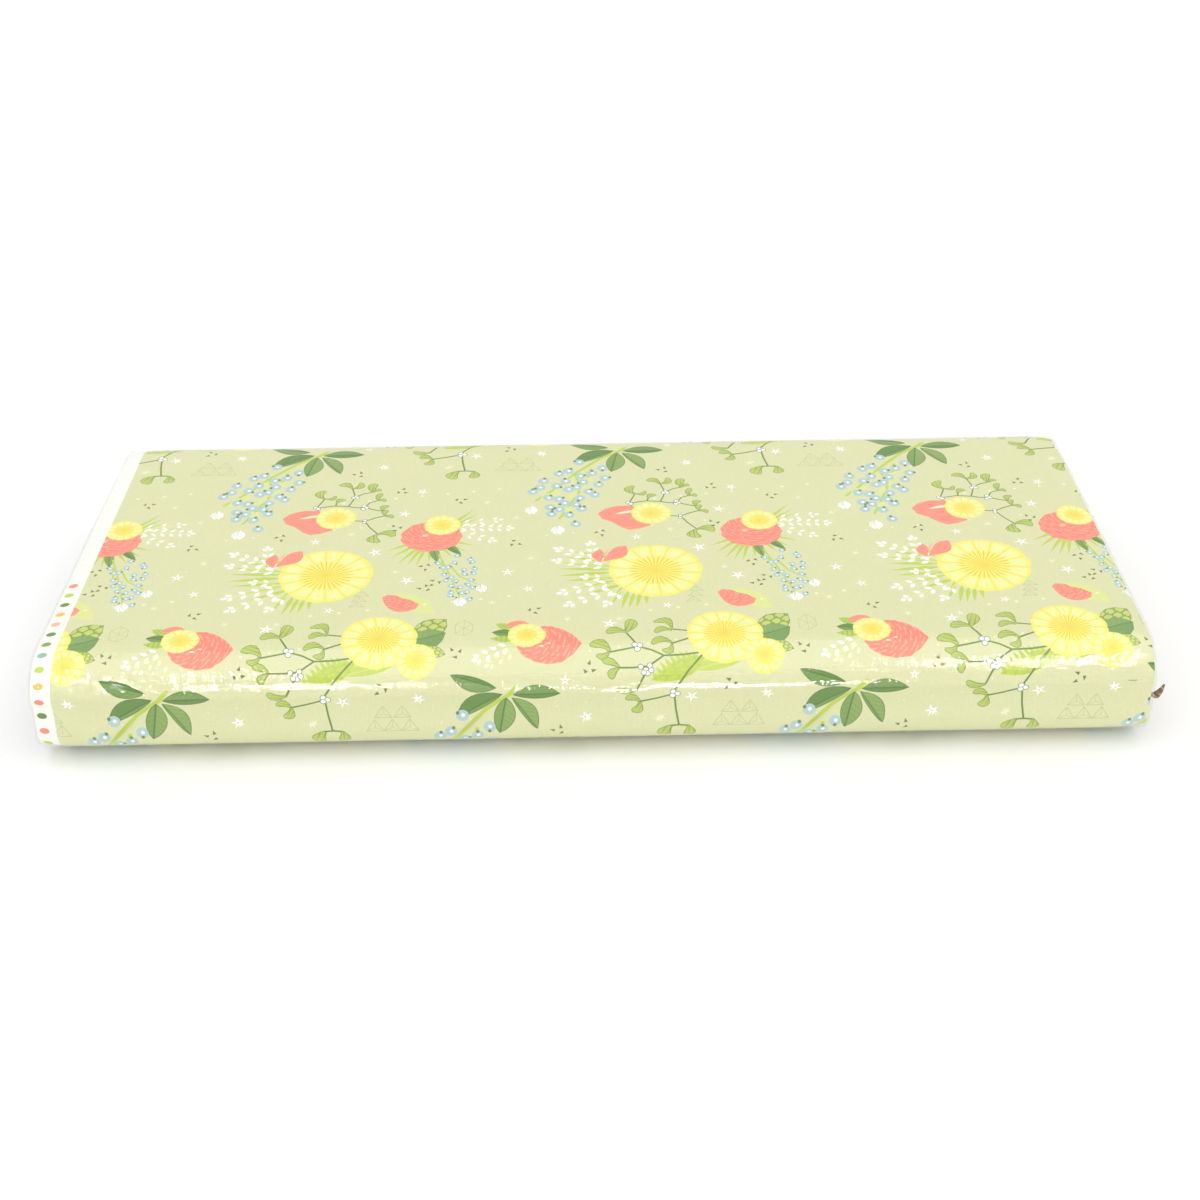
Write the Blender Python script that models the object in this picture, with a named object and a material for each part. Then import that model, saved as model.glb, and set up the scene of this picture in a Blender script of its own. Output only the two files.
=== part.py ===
"""A bolt of quilting cotton in shrink film: doubled cloth wound flat on a corrugated board.

Metres, +Z up. +X runs along the bolt to the end that shows the cloth's fold and the label, -Y is
the front long edge, and the origin is under the middle of the bolt, on the surface it lies on.
"""
import math

import bmesh
import bpy
from mathutils import Vector

MM = 0.001

# Driving dimensions
CLOTH_WIDTH_FOLDED = 559 * MM      # 44 inch cloth, folded in half lengthwise
BOARD_STANDS_OUT = 6.2 * MM        # the board beyond the cloth at each end
BOARD_WIDTH = 197 * MM
TOUCH = 0.3 * MM                   # gap between pieces that touch or are glued

# Corrugated core: three liners with two fluted sheets between them, inside a folded cover
LINER = 0.6 * MM
FLUTE_SHEET = 0.5 * MM
FLUTE_HEIGHT = 4.1 * MM            # crest to crest, over the sheet's two faces
FLUTE_PITCH = 8.7 * MM
COVER = 0.6 * MM
COVER_BEND = 1.5 * MM              # outside radius of the cover's folded edges
COVER_LAP = 38 * MM                # width of the glued lap under the board
LAP_RAMP = 4 * MM                  # run over which the cover steps up over its own edge
CORE_SETBACK = 2 * MM              # the core stops this far inside the cover's ends

# Label: a printed paper cap folded over the board's end
LABEL_PAPER = 0.3 * MM
LABEL_LIP = 16 * MM

# Cloth: each modelled turn stands for about three and a half real ones
TURNS = 8
PLY = 1 * MM
PLY_GAP = 0.35 * MM                # between the two plies of the doubled cloth
TURN_GAP = 0.35 * MM
LIP_CLEARANCE = 0.4 * MM           # between the label's lips and the first turn
CLOTH_BEND = 1.4 * MM              # inside radius of the first turn round the board's edges

# Shrink film: a sleeve whose open ends have drawn in over the cloth's edges
FILM = 0.3 * MM
FILM_GAP = 0.4 * MM
FILM_END_GAP = 0.8 * MM            # between the cloth's edges and the film drawn over them
FILM_OPENING = 5.7 * MM            # from the board to the rim of the film's end opening
FILM_SHOULDER = 1.2 * MM           # inside radius where the film turns in over the ends

# Facets
CORNER_STEPS = 4
FILM_CORNER_STEPS = 10
SHOULDER_STEPS = 3
FLUTE_STEPS = 6

core_height = 3 * LINER + 2 * FLUTE_HEIGHT + 4 * TOUCH
core_width = BOARD_WIDTH - 2 * (COVER + TOUCH)
board_height = core_height + 3 * (COVER + TOUCH)
core_low = -board_height / 2 + 2 * (COVER + TOUCH)
slot_clearance = TOUCH + LABEL_PAPER + LIP_CLEARANCE
turn_pitch = 2 * PLY + PLY_GAP + TURN_GAP
wound = slot_clearance + TURNS * turn_pitch - TURN_GAP
centre_height = board_height / 2 + wound + FILM_GAP + FILM
board_length = CLOTH_WIDTH_FOLDED + 2 * BOARD_STANDS_OUT
board_low_x = -(board_length + TOUCH + LABEL_PAPER) / 2
board_high_x = board_low_x + board_length


def material(name, colour, roughness, alpha=1.0):
    """A Principled material with one colour."""
    made = bpy.data.materials.new(name)
    made.use_nodes = True
    shader = made.node_tree.nodes["Principled BSDF"]
    shader.inputs["Base Color"].default_value = (*colour, 1.0)
    shader.inputs["Roughness"].default_value = roughness
    shader.inputs["Metallic"].default_value = 0.0
    shader.inputs["Alpha"].default_value = alpha
    return made


def add_object(name, bm, paint, smooth_angle=35):
    """Links one named object made of a bmesh, its faces pointing out."""
    bmesh.ops.recalc_face_normals(bm, faces=bm.faces)
    shape = bpy.data.meshes.new(name)
    bm.to_mesh(shape)
    bm.free()
    shape.shade_smooth()
    shape.set_sharp_from_angle(angle=math.radians(smooth_angle))
    shape.materials.append(paint)
    made = bpy.data.objects.new(name, shape)
    bpy.context.scene.collection.objects.link(made)
    return made


def loft(rings, close_path=False):
    """A solid through rings of equally many points, with a face on each end or closed on itself."""
    bm = bmesh.new()
    made = [[bm.verts.new(point) for point in ring] for ring in rings]
    count = len(made[0])
    pairs = list(zip(made, made[1:]))
    if close_path:
        pairs.append((made[-1], made[0]))
    for low, high in pairs:
        for i in range(count):
            j = (i + 1) % count
            bm.faces.new((low[i], low[j], high[j], high[i]))
    if not close_path:
        bm.faces.new(reversed(made[0]))
        bm.faces.new(made[-1])
    return bm


def prism(outline, low_x, high_x):
    """A bar along X whose section is a closed outline of (y, z) points from the board's middle."""
    return loft([[Vector((x, y, centre_height + z)) for y, z in outline] for x in (low_x, high_x)])


def rounded_path(half_width, half_height, radius, steps):
    """Points (y, z) and outward normals round a rectangle with round corners.

    It starts at the middle of the underside and runs by the front (-Y), the top and the back.
    """
    points = [((0.0, -half_height), (0.0, -1.0))]
    for side_y, side_z, start in ((-1, -1, 270), (-1, 1, 180), (1, 1, 90), (1, -1, 0)):
        centre_y = side_y * (half_width - radius)
        centre_z = side_z * (half_height - radius)
        for k in range(steps + 1):
            angle = math.radians(start - 90 * k / steps)
            normal = (math.cos(angle), math.sin(angle))
            points.append(((centre_y + radius * normal[0], centre_z + radius * normal[1]), normal))
    return points


def path_shares(points):
    """Each point's share of the way round the closed path."""
    lengths = [0.0]
    for (a, _), (b, _) in zip(points, points[1:] + points[:1]):
        lengths.append(lengths[-1] + math.dist(a, b))
    return [length / lengths[-1] for length in lengths[:-1]]


def spiral(base, turns, pitch):
    """Points, normals and offsets of a spiral that moves out by one pitch in each turn."""
    shares = path_shares(base)
    made = []
    for turn in range(turns):
        for share, (point, normal) in zip(shares, base):
            made.append((point, normal, (turn + share) * pitch))
    point, normal = base[0]
    made.append((point, normal, turns * pitch))
    return made


def build_cloth(paint):
    """One length of cloth folded along +X and wound round the board: a hairpin swept on a spiral."""
    half_width = BOARD_WIDTH / 2 + slot_clearance
    half_height = board_height / 2 + slot_clearance
    base = rounded_path(half_width, half_height, CLOTH_BEND, CORNER_STEPS)
    selvage_x = -CLOTH_WIDTH_FOLDED / 2
    fold_x = CLOTH_WIDTH_FOLDED / 2
    bend_x = fold_x - PLY
    doubled = 2 * PLY + PLY_GAP
    section = [
        (selvage_x, 0.0),
        (bend_x, 0.0),
        (fold_x, 0.4 * doubled),
        (fold_x, 0.6 * doubled),
        (bend_x, doubled),
        (selvage_x, doubled),
        (selvage_x, doubled - PLY),
        (bend_x - PLY_GAP, doubled - PLY),
        (bend_x - PLY_GAP, PLY),
        (selvage_x, PLY),
    ]
    rings = []
    for (y, z), (ny, nz), offset in spiral(base, TURNS - 1, turn_pitch):
        rings.append([
            Vector((x, y + ny * (offset + depth), centre_height + z + nz * (offset + depth)))
            for x, depth in section
        ])
    return add_object("cloth_roll", loft(rings), paint, 60)


def film_ring(offset, x):
    """One loop of the film, at an offset out from the board."""
    half_width = BOARD_WIDTH / 2 + offset
    half_height = board_height / 2 + offset
    radius = CLOTH_BEND + offset - slot_clearance
    path = rounded_path(half_width, half_height, radius, FILM_CORNER_STEPS)
    return [Vector((x, y, centre_height + z)) for (y, z), _ in path]


def film_skin(thickness):
    """The film's profile as (offset, x) from rim to rim, at a distance out from its inner face."""
    side = wound + FILM_GAP
    end_x = CLOTH_WIDTH_FOLDED / 2 + FILM_END_GAP
    radius = FILM_SHOULDER + thickness
    right = [(FILM_OPENING, end_x + thickness)]
    for k in range(SHOULDER_STEPS + 1):
        angle = math.radians(90 - 90 * k / SHOULDER_STEPS)
        offset = side - FILM_SHOULDER + radius * math.cos(angle)
        right.append((offset, end_x - FILM_SHOULDER + radius * math.sin(angle)))
    left = [(offset, -x) for offset, x in reversed(right)]
    return right + left


def build_film(paint):
    """The shrink sleeve: one skin round the roll, open at each end round the board."""
    profile = film_skin(FILM) + film_skin(0.0)[::-1]
    rings = [film_ring(offset, x) for offset, x in profile]
    return add_object("film_sleeve", loft(rings, close_path=True), paint, 40)


def build_cover(paint):
    """The sheet folded round the core, whose one edge is glued over the other under the board."""
    half_width = BOARD_WIDTH / 2
    low = -board_height / 2
    step = COVER + TOUCH
    edge = COVER_LAP / 2
    bends = rounded_path(half_width, board_height / 2, COVER_BEND, CORNER_STEPS)[1:]
    outer = [point for point, _ in bends]
    inner = [(y - ny * COVER, z - nz * COVER) for (y, z), (ny, nz) in bends]
    outline = [(edge, low), *outer, (edge + LAP_RAMP, low), (edge + TOUCH, low + step), (-edge, low + step)]
    outline += [(-edge, low + step + COVER), (edge + TOUCH, low + step + COVER)]
    outline += [(edge + LAP_RAMP, low + COVER), *reversed(inner), (edge, low + COVER)]
    return add_object("board_cover", prism(outline, board_low_x, board_high_x), paint)


def build_liner(name, low, paint):
    """One flat liner of the core, with its lower face at a height from the board's middle."""
    half = core_width / 2
    outline = [(-half, low), (half, low), (half, low + LINER), (-half, low + LINER)]
    return add_object(name, prism(outline, board_low_x + CORE_SETBACK, board_high_x - CORE_SETBACK), paint)


def build_flute(name, low, paint):
    """One fluted sheet of the core: a wave across the board, running along it."""
    reach = (FLUTE_HEIGHT - FLUTE_SHEET) / 2
    waves = int(core_width / FLUTE_PITCH)
    middle = low + FLUTE_HEIGHT / 2
    upper = []
    lower = []
    for k in range(waves * FLUTE_STEPS + 1):
        phase = 2 * math.pi * k / FLUTE_STEPS
        y = (k / FLUTE_STEPS - waves / 2) * FLUTE_PITCH
        z = middle + reach * math.cos(phase)
        slope = -reach * math.sin(phase) * 2 * math.pi / FLUTE_PITCH
        length = math.hypot(1.0, slope)
        across = (-slope / length * FLUTE_SHEET / 2, FLUTE_SHEET / 2 / length)
        upper.append((y + across[0], z + across[1]))
        lower.append((y - across[0], z - across[1]))
    outline = lower + upper[::-1]
    shape = prism(outline, board_low_x + CORE_SETBACK, board_high_x - CORE_SETBACK)
    return add_object(name, shape, paint, 50)


def build_core(liner_paint, flute_paint):
    """The double-wall core, from the lowest liner up."""
    low = core_low
    for name in ("core_liner_bottom", "core_flute_lower", "core_liner_middle",
                 "core_flute_upper", "core_liner_top"):
        if "liner" in name:
            build_liner(name, low, liner_paint)
            low += LINER + TOUCH
        else:
            build_flute(name, low, flute_paint)
            low += FLUTE_HEIGHT + TOUCH


def build_label(paint):
    """The paper cap folded over the board's end: four lips and an end panel."""
    outer_gap = TOUCH + LABEL_PAPER
    rings = []
    for gap, x in (
        (outer_gap, board_high_x + outer_gap),
        (outer_gap, board_high_x + outer_gap - LABEL_LIP),
        (TOUCH, board_high_x + outer_gap - LABEL_LIP),
        (TOUCH, board_high_x + TOUCH),
    ):
        radius = COVER_BEND + gap
        path = rounded_path(BOARD_WIDTH / 2 + gap, board_height / 2 + gap, radius, CORNER_STEPS)
        rings.append([Vector((x, y, centre_height + z)) for (y, z), _ in path])
    return add_object("end_label", loft(rings), paint)


def main():
    """Clears the scene and builds every piece."""
    for old in list(bpy.data.objects):
        bpy.data.objects.remove(old, do_unlink=True)
    build_cloth(material("printed_cotton", (0.76, 0.78, 0.48), 0.9))
    build_film(material("shrink_film", (0.95, 0.96, 0.96), 0.06, 0.2))
    build_cover(material("white_faced_board", (0.82, 0.80, 0.74), 0.7))
    build_core(
        material("kraft_liner", (0.47, 0.32, 0.18), 0.85),
        material("kraft_fluting", (0.38, 0.25, 0.13), 0.9),
    )
    build_label(material("printed_label", (0.27, 0.16, 0.10), 0.55))


main()
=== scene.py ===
"""Looks for the fabric bolt: printed cotton wound on a white-faced board, in clear shrink film.

Sizes and places are in millimetres and angles in degrees until MM turns them into metres.
"""

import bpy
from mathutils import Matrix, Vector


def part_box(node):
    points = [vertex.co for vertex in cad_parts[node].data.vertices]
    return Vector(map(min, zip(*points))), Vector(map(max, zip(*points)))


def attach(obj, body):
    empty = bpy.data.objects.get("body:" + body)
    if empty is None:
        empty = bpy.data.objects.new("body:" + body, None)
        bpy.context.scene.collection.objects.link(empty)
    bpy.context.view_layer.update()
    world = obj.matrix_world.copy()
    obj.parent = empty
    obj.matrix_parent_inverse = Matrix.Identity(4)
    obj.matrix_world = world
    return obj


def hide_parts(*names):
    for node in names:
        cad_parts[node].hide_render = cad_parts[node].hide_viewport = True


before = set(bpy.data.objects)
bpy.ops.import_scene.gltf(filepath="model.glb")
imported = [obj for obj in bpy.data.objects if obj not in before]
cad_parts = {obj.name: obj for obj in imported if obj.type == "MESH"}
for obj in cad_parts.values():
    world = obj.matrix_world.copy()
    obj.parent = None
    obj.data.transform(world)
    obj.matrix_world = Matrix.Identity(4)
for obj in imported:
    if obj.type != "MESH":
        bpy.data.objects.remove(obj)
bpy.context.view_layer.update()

import copy
import math

import bmesh
import bpy
import numpy as np
from mathutils import Matrix, Vector, noise
from mathutils.geometry import delaunay_2d_cdt

MM = 0.001
TURN = 2 * math.pi

# The bolt's section, from the film's box: a flat oval with four equal corners.
FILM_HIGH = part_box("film_sleeve")[1] / MM
HALF_WIDTH = FILM_HIGH.y
THICKNESS = FILM_HIGH.z
CORNER = 24
FLAT_TOP = 2 * (HALF_WIDTH - CORNER)
FLAT_SIDE = THICKNESS - 2 * CORNER
ARC = CORNER * math.pi / 2
ROUND = 2 * (FLAT_TOP + FLAT_SIDE) + 4 * ARC
CLOTH_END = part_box("cloth_roll")[1].x / MM
FILM_END = FILM_HIGH.x

# The cloth: how far it lies inside the film's box, and where its outer end lies on the underside.
CLOTH_INSET = 0.5
OUTER_END_FROM_CORNER = 60
OUTER_END_TUCK = 30

# The long sides' marks, up from the bottom edge: how far they stand off a plain oval.
SIDE_MARKS = ((19, 0), (27, 1.4), (47.5, -0.7), (49.5, -0.7), (57, 0.8), (70, 0))

# The turns between the board's slot and the film, and one doubled turn's thickness.
TURNS = 28
SLOT_CLEARANCE = 0.4
SLOT_LOW, SLOT_HIGH = (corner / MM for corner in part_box("end_label"))
SLOT_HALF = SLOT_HIGH.y + SLOT_CLEARANCE
SLOT_BEND = 1.4
LAYER = (HALF_WIDTH - CLOTH_INSET - SLOT_HALF) / TURNS
PLY = LAYER / 2
SELVAGE_WIDTH = 9.5
FOLD_UNDER = 26
WARP_STEP, WEFT_STEP = 0.55, 0.5

# The print's repeat: two steps over the cloth, the corner it starts from, and its inner grid.
REPEAT_ALONG = (178.0, 0.0)
REPEAT_UP = (62.4, 224.5)
REPEAT_FROM = (-99.0, 24.0)
REPEAT_GRID = (32, 46)

# The selvage's colour marks: how far apart, and the part of the way round that has them.
MARK_STEP = 9
MARKED = (8, 150)

# The camera, solved from the photograph's outline: metres, and yaw, pitch and roll in degrees.
CAMERA_PLACE = (-0.0118, -0.9014, 0.6265)
CAMERA_TURN = (-0.905, -34.108, -0.485)
CAMERA_LENS = 57.45


# ---------------------------------------------------------------- colours and nodes
def rgb(red, green, blue, alpha=1.0):
    """A colour given as 8-bit sRGB, as linear RGBA."""
    def linear(value):
        value /= 255
        return value / 12.92 if value <= 0.04045 else ((value + 0.055) / 1.055) ** 2.4
    return (linear(red), linear(green), linear(blue), alpha)


GROUND = rgb(228, 228, 180)
GROUND_DEEP = rgb(220, 220, 170)
YELLOW_PALE = rgb(244, 249, 182)
YELLOW = rgb(250, 242, 118)
YELLOW_LINE = rgb(243, 226, 92)
YELLOW_DEEP = rgb(249, 234, 98)
YELLOW_DASH = rgb(238, 190, 30)
CORAL = rgb(250, 142, 120)
CORAL_PALE = rgb(252, 190, 165)
LEAF_DARK = rgb(104, 144, 62)
LEAF_MID = rgb(136, 168, 82)
LEAF_VEIN = rgb(74, 110, 54)
LEAF_LIGHT = rgb(176, 198, 120)
TWIG = rgb(116, 142, 54)
LEAF_BLUE = rgb(132, 168, 98)
OLIVE = rgb(184, 200, 88)
OLIVE_PALE = rgb(204, 216, 116)
LIME = rgb(196, 214, 84)
LIME_PALE = rgb(226, 234, 150)
BERRY = rgb(180, 208, 210)
BERRY_PALE = rgb(200, 220, 205)
CAP_GREY = rgb(118, 134, 88)
DASH = rgb(126, 130, 82)
WHITE = rgb(254, 254, 250)
CREAM = rgb(242, 242, 205)
BUD_LINE = rgb(206, 212, 170)
TEAL = rgb(150, 196, 178)
ORANGE = rgb(250, 196, 84)
NET = rgb(198, 206, 150)
SELVAGE = rgb(250, 250, 244)


class Value:
    """A number inside a material. Arithmetic on it adds Math nodes."""

    def __init__(self, shader, socket):
        self.shader = shader
        self.socket = socket

    def math(self, operation, *others):
        return self.shader.math(operation, self, *others)

    def __add__(self, other):
        return self.math("ADD", other)

    def __sub__(self, other):
        return self.math("SUBTRACT", other)

    def __rsub__(self, other):
        return self.shader.math("SUBTRACT", other, self)

    def __mul__(self, other):
        return self.math("MULTIPLY", other)

    def __pow__(self, other):
        return self.math("POWER", other)

    def __abs__(self):
        return self.math("ABSOLUTE")

    def sine(self):
        return self.math("SINE")

    def fract(self):
        return self.math("FRACT")

    def most(self, other):
        return self.math("MAXIMUM", other)

    def band(self, low, high, top=1.0):
        """0 up to low and top from high on, with a straight ramp between. Low may be the larger."""
        return Value(self.shader, self.shader.add("MapRange", {0: self, 1: low, 2: high, 4: top}).outputs[0])


class Shader:
    """A material's nodes, added one at a time."""

    def __init__(self, name):
        self.material = bpy.data.materials.new(name)
        self.material.use_nodes = True
        self.tree = self.material.node_tree
        self.tree.nodes.clear()
        self.output = self.tree.nodes.new("ShaderNodeOutputMaterial")

    def add(self, kind, inputs=None, **settings):
        """A node of this kind. inputs maps its sockets to values or to other sockets."""
        made = self.tree.nodes.new("ShaderNode" + kind)
        for name, value in settings.items():
            setattr(made, name, value)
        for socket, value in (inputs or {}).items():
            value = value.socket if isinstance(value, Value) else value
            if isinstance(value, bpy.types.NodeSocket):
                self.tree.links.new(value, made.inputs[socket])
            else:
                made.inputs[socket].default_value = value
        return made

    def math(self, operation, *values):
        return Value(self, self.add("Math", dict(enumerate(values)), operation=operation).outputs[0])

    def mix(self, factor, first, second):
        return self.add("Mix", {0: factor, 6: first, 7: second}, data_type="RGBA").outputs[2]

    def ramp(self, value, *stops):
        """A colour ramp: stops are (position, colour)."""
        made = self.add("ValToRGB", {0: value})
        ramp = made.color_ramp
        while len(ramp.elements) < len(stops):
            ramp.elements.new(0.5)
        for element, (position, colour) in zip(ramp.elements, stops):
            element.position = position
            element.color = colour
        return made.outputs[0]

    def split(self, vector):
        """The three numbers of a vector."""
        return [Value(self, part) for part in self.add("SeparateXYZ", {0: vector}).outputs]

    def uv(self, name):
        """The two coordinates of a UV map."""
        return self.split(self.add("UVMap", uv_map=name).outputs[0])[:2]

    def place(self):
        """The place on the object itself."""
        return self.add("TexCoord").outputs["Object"]

    def point(self, x, y):
        return self.add("CombineXYZ", {0: x, 1: y}).outputs[0]

    def noise(self, where, scale, detail=2.0):
        inputs = {"Vector": where, "Scale": scale, "Detail": detail}
        return Value(self, self.add("TexNoise", inputs).outputs[0])

    def bump(self, strength, distance, height):
        inputs = {"Strength": strength, "Distance": distance, "Height": height}
        return self.add("Bump", inputs).outputs[0]

    def finish(self, kind, inputs):
        """The finished material, with a shader node of this kind as its surface."""
        self.tree.links.new(self.add(kind, inputs).outputs[0], self.output.inputs["Surface"])
        return self.material


# ---------------------------------------------------------------- the section and its surface
def ring(along, half_width, low, high, radius):
    """Points and outward normals on a flat oval, at lengths along the bolt's own section.

    Lengths run from the front of the underside, up the front, over the top and down the back.
    A corner of the oval always takes the lengths of the bolt's corner.
    """
    along = np.mod(along, ROUND)
    spans = np.array([ARC, FLAT_SIDE, ARC, FLAT_TOP, ARC, FLAT_SIDE, ARC, FLAT_TOP])
    starts = np.cumsum(spans) - spans
    part = np.clip(np.searchsorted(starts, along, side="right") - 1, 0, 7)
    share = (along - starts[part]) / spans[part]
    turn = np.where(part % 2 == 0, part / 2 + share, (part + 1) / 2) * math.pi / 2
    normal_y, normal_z = -np.sin(turn), -np.cos(turn)
    y_in, z_low, z_high = half_width - radius, low + radius, high - radius
    side = np.array([(-y_in, z_low)] * 2 + [(-y_in, z_high)] * 2 + [(y_in, z_high)] * 2 + [(y_in, z_low)] * 2)
    to = np.roll(side, -1, axis=0)
    centre = side[part] + np.where(part % 2 == 1, share, 0)[:, None] * (to[part] - side[part])
    return centre[:, 0] + radius * normal_y, centre[:, 1] + radius * normal_z, normal_y, normal_z


def ripple(x, along, size, seed):
    """Smooth noise between -1 and 1 over the unrolled surface; size is its grain in each direction."""
    return np.array([noise.noise((a / size[0], b / size[1], seed)) for a, b in zip(x, along)])


def end_pinch(x):
    """How far the film's pull draws the roll's edges in, at x along the bolt."""
    from_end = np.clip((CLOTH_END - np.abs(x)) / 16, 0, 1)
    return 1.6 * (1 - from_end) ** 2


def through(value, marks):
    """A smooth curve through (place, height) marks, level at each of them."""
    places, heights = (np.array(column, float) for column in zip(*marks))
    part = np.clip(np.searchsorted(places, value, side="right") - 1, 0, len(places) - 2)
    share = np.clip((value - places[part]) / (places[part + 1] - places[part]), 0, 1)
    return heights[part] + (heights[part + 1] - heights[part]) * share ** 2 * (3 - 2 * share)


def side_profile(along):
    """How the long sides differ from a plain oval: a lip, a crease under the shoulder and a flared foot."""
    along = along % ROUND
    far = 2 * (2 * ARC + FLAT_SIDE) + FLAT_TOP - along
    return through(along, SIDE_MARKS) + 0.7 * through(far, SIDE_MARKS)


def end_skew(x, along):
    """How far the roll's ends lean along the bolt, because its turns are not wound quite square."""
    y = ring(along, HALF_WIDTH, 0, THICKNESS, CORNER)[0] / HALF_WIDTH
    left = np.clip((-x - 130) / (CLOTH_END - 130), 0, 1) ** 1.5
    right = np.clip((x - 180) / (CLOTH_END - 180), 0, 1) ** 1.5
    return left * (-3.0 + 6.5 * y) + right * (1.2 - 3.2 * y - 3.0 * np.clip(y - 0.6, 0, 1))


def folded(across):
    """Where a place across the folded cloth lies along the bolt, and how far it is below the outer ply."""
    radius = PLY / 2
    straight = CLOTH_END - radius
    turn = np.clip((across - straight) / radius, 0, math.pi)
    back = np.maximum(across - straight - math.pi * radius, 0)
    return np.minimum(across, straight) + radius * np.sin(turn) - back, radius * (1 - np.cos(turn))


def cloth_surface(across, along, inset):
    """The cloth's outer turn under the film; past the bolt's end it folds under itself."""
    x, below = folded(across)
    y, z, normal_y, normal_z = ring(along, HALF_WIDTH, 0, THICKNESS, CORNER)
    push = side_profile(along) - inset - below - end_pinch(x) + 0.12 * ripple(x, along, (45, 16), 3.1)
    return np.column_stack([x + end_skew(x, along), y + push * normal_y, z + push * normal_z])


# ---------------------------------------------------------------- the print's shapes
def counter_clockwise(outline):
    x, y = outline.T
    area = np.sum(x * np.roll(y, -1) - np.roll(x, -1) * y)
    return outline if area > 0 else outline[::-1]


def run(base, tip):
    """From base to tip: both as arrays, how far it is, and the directions along and across."""
    base, tip = np.asarray(base, float), np.asarray(tip, float)
    length = np.hypot(*(tip - base))
    axis = (tip - base) / length
    return base, tip, length, axis, np.array([-axis[1], axis[0]])


def round_about(centre, reach, turn):
    """The places at a reach from a centre, at angles in radians."""
    return np.asarray(centre) + (reach * np.array([np.cos(turn), np.sin(turn)])).T


class Shape:
    """One printed shape: an outline in millimetres, its style, two colours and its own axes."""

    def __init__(self, outline, style, colour, mark, origin, axis, size, kind=(1, 0)):
        self.outline = counter_clockwise(np.asarray(outline, float))
        self.style = style
        self.colour = colour
        self.mark = mark or colour
        self.origin = np.asarray(origin, float)
        self.axis = np.asarray(axis, float) / max(np.hypot(*axis), 1e-6)
        self.size = size
        self.kind = kind

    def local(self, points):
        """Points in the shape's own axes: along it and across it, as shares of its size."""
        offset = points - self.origin
        across = np.array([-self.axis[1], self.axis[0]])
        return np.column_stack([offset @ self.axis / self.size[0], offset @ across / self.size[1]])

    def moved(self, shift):
        made = copy.copy(self)
        made.outline = self.outline + shift
        made.origin = self.origin + shift
        return made


def oval(centre, radius, other=None, style="flat", colour=WHITE, mark=None, tilt=0, points=10, kind=(1, 0)):
    other = radius if other is None else other
    turn = np.linspace(0, TURN, points, endpoint=False)
    axis = round_about((0, 0), 1, math.radians(tilt))
    across = np.array([-axis[1], axis[0]])
    outline = np.asarray(centre) + np.outer(radius * np.cos(turn), axis)
    outline += np.outer(other * np.sin(turn), across)
    return Shape(outline, style, colour, mark, centre, axis, (radius, other), kind)


def leaf(base, tip, width, style="flat", colour=LIME, mark=None, bend=0.0, full=0.45, points=6):
    """A pointed leaf. bend pushes its middle sideways, and full is where it is widest."""
    base, tip, length, axis, across = run(base, tip)
    t = np.linspace(0, 1, points + 1)
    middle = base + np.outer(t, tip - base) + np.outer(bend * np.sin(math.pi * t), across)
    half = width / 2 * np.sin(math.pi * t ** (math.log(0.5) / math.log(full))) ** 0.85
    left = middle + half[:, None] * across
    right = middle - half[:, None] * across
    outline = np.vstack([left, right[-2:0:-1]])
    return Shape(outline, style, colour, mark, base, axis, (length, width / 2))


def paddle(base, tip, width, curl):
    """A leaf with a round end, like a mistletoe leaf, curling to one side."""
    base, tip, length, axis, across = run(base, tip)
    t = np.array([0, 0.25, 0.5, 0.75, 0.92, 1.0])
    half = width / 2 * np.array([0.22, 0.55, 0.9, 1.0, 0.7, 0.0])
    middle = base + np.outer(t, tip - base) + np.outer(curl * np.sin(math.pi * t), across)
    outline = np.vstack([middle + half[:, None] * across, (middle - half[:, None] * across)[-2::-1]])
    return Shape(outline, "hatch", OLIVE, LEAF_VEIN, base, axis, (length, width / 2))


def outlined(shape, grow, colour):
    """The shape with a drawn line round it: a slightly larger copy lies behind."""
    before = shape.outline - np.roll(shape.outline, 1, axis=0)
    after = np.roll(shape.outline, -1, axis=0) - shape.outline
    way = before / np.linalg.norm(before, axis=1)[:, None] + after / np.linalg.norm(after, axis=1)[:, None]
    out = np.column_stack([way[:, 1], -way[:, 0]]) / np.maximum(np.linalg.norm(way, axis=1), 0.5)[:, None]
    back = Shape(shape.outline + grow * out, "flat", colour, None, shape.origin, shape.axis, shape.size)
    return [back, shape]


def stem(route, width, colour=TWIG, taper=1.0):
    """A stem along a route, as one ribbon."""
    route = np.asarray(route, float)
    along = np.gradient(route, axis=0)
    along /= np.hypot(along[:, 0], along[:, 1])[:, None]
    across = np.column_stack([-along[:, 1], along[:, 0]])
    half = width / 2 * np.linspace(1, taper, len(route))[:, None]
    outline = np.vstack([route + half * across, (route - half * across)[::-1]])
    return Shape(outline, "flat", colour, None, route[0], route[-1] - route[0], (10, width))


def blossom(centre, radius, petals, disc, seed):
    """A yellow blossom: a scalloped ring of petals and a deep centre."""
    turn = (np.arange(petals * 5) / 5 - seed) * TURN / petals
    from_middle = np.abs(np.mod(np.arange(petals * 5) / 5, 1) - 0.5) * 2
    edge = radius * (1 - 0.03 * from_middle ** 3) * (1 + 0.018 * np.sin(3 * turn + seed))
    outline = round_about(centre, edge, turn)
    petal_ring = Shape(outline, "petal", YELLOW_PALE, YELLOW, centre, (1, 0), (radius, radius),
                       (petals, seed))
    rays = (petals * 2, seed)
    middle = oval(centre, disc, None, "disc", YELLOW_DEEP, YELLOW_DASH, points=18, kind=rays)
    return [petal_ring, middle]


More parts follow.
